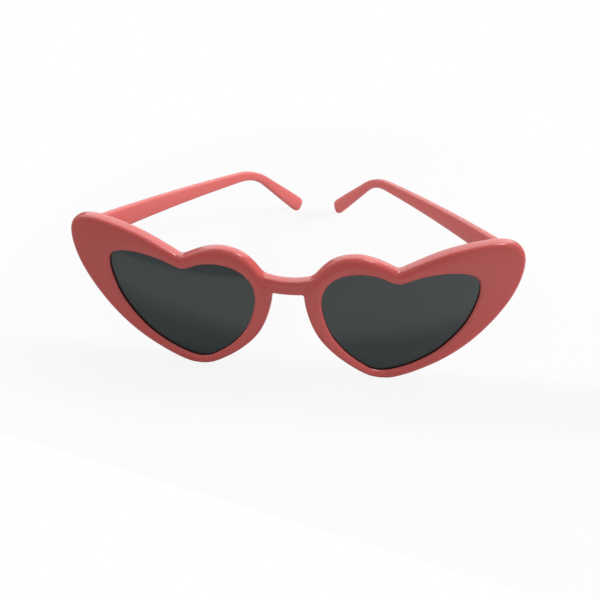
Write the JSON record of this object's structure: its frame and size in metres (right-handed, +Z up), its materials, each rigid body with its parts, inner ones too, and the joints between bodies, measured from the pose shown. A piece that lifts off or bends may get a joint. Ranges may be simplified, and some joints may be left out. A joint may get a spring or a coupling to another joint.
{
  "type": "heart shaped sunglasses",
  "caption": "Cat eye sunglasses with a moulded front of heart shaped rims, tinted heart shaped lenses, and temples that fold on small metal hinges.",
  "frame": {"origin": "on the surface that the glasses stand on, midway between left and right and midway between the front face and the temple tips", "axes": "+X to the right of someone who looks at the front, -Y out of the front face, +Z up; left and right in the names are as seen from there"},
  "size_m": [0.1522, 0.1162, 0.0593],
  "materials": {
    "front_plastic": "coral pink moulded plastic, glossy, softly rounded edges",
    "temple_plastic": "coral pink moulded plastic, satin gloss",
    "pad_plastic": "coral pink moulded plastic, satin",
    "lens_tint": "smoke grey tinted plastic lens, glossy",
    "hinge_steel": "tumbled nickel plated steel",
    "screw_steel": "bright steel screws"
  },
  "bodies": {
    "front": {"front_frame": "front_plastic", "lens_left": "lens_tint", "lens_right": "lens_tint", "nose_pad_left": "pad_plastic", "nose_pad_right": "pad_plastic", "front_leaf_left": "hinge_steel", "front_leaf_right": "hinge_steel", "hinge_screw_left": "screw_steel", "hinge_screw_right": "screw_steel", "front_leaf_screws_left": "screw_steel", "front_leaf_screws_right": "screw_steel"},
    "left_temple": {"temple_left": "temple_plastic", "temple_leaf_left": "hinge_steel", "temple_leaf_screws_left": "screw_steel"},
    "right_temple": {"temple_right": "temple_plastic", "temple_leaf_right": "hinge_steel", "temple_leaf_screws_right": "screw_steel"}
  },
  "joints": [
    {"name": "left_temple_fold", "type": "hinge", "parent": "front", "child": "left_temple", "pos_m": [-0.0663, -0.04211, 0.04982], "axis": [0, 0, -1], "range_deg": [-25.2, 61.5]},
    {"name": "right_temple_fold", "type": "hinge", "parent": "front", "child": "right_temple", "pos_m": [0.0663, -0.04211, 0.04982], "axis": [0, 0, 1], "range_deg": [-25.2, 56.5]}
  ]
}
